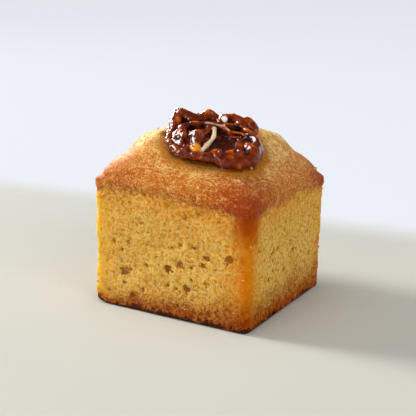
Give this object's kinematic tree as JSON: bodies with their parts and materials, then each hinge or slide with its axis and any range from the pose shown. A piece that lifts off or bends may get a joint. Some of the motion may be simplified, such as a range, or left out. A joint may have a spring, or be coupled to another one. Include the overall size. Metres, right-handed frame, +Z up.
{
  "type": "butter cake",
  "caption": "Small cube-shaped butter cake with a browned, domed top and a glazed walnut half sunk into it.",
  "frame": {"origin": "centre of the flat base", "axes": "+Z up; -Y out of the broad side that the picture shows on its left, +X out of the side on its right"},
  "size_m": [0.0519, 0.052, 0.0573],
  "materials": {
    "crumb": "open yellow crumb, orange-brown at the crust",
    "glazed_nut": "glossy caramel glaze"
  },
  "bodies": {
    "root": {"cake": "crumb", "walnut": "glazed_nut"}
  },
  "joints": []
}
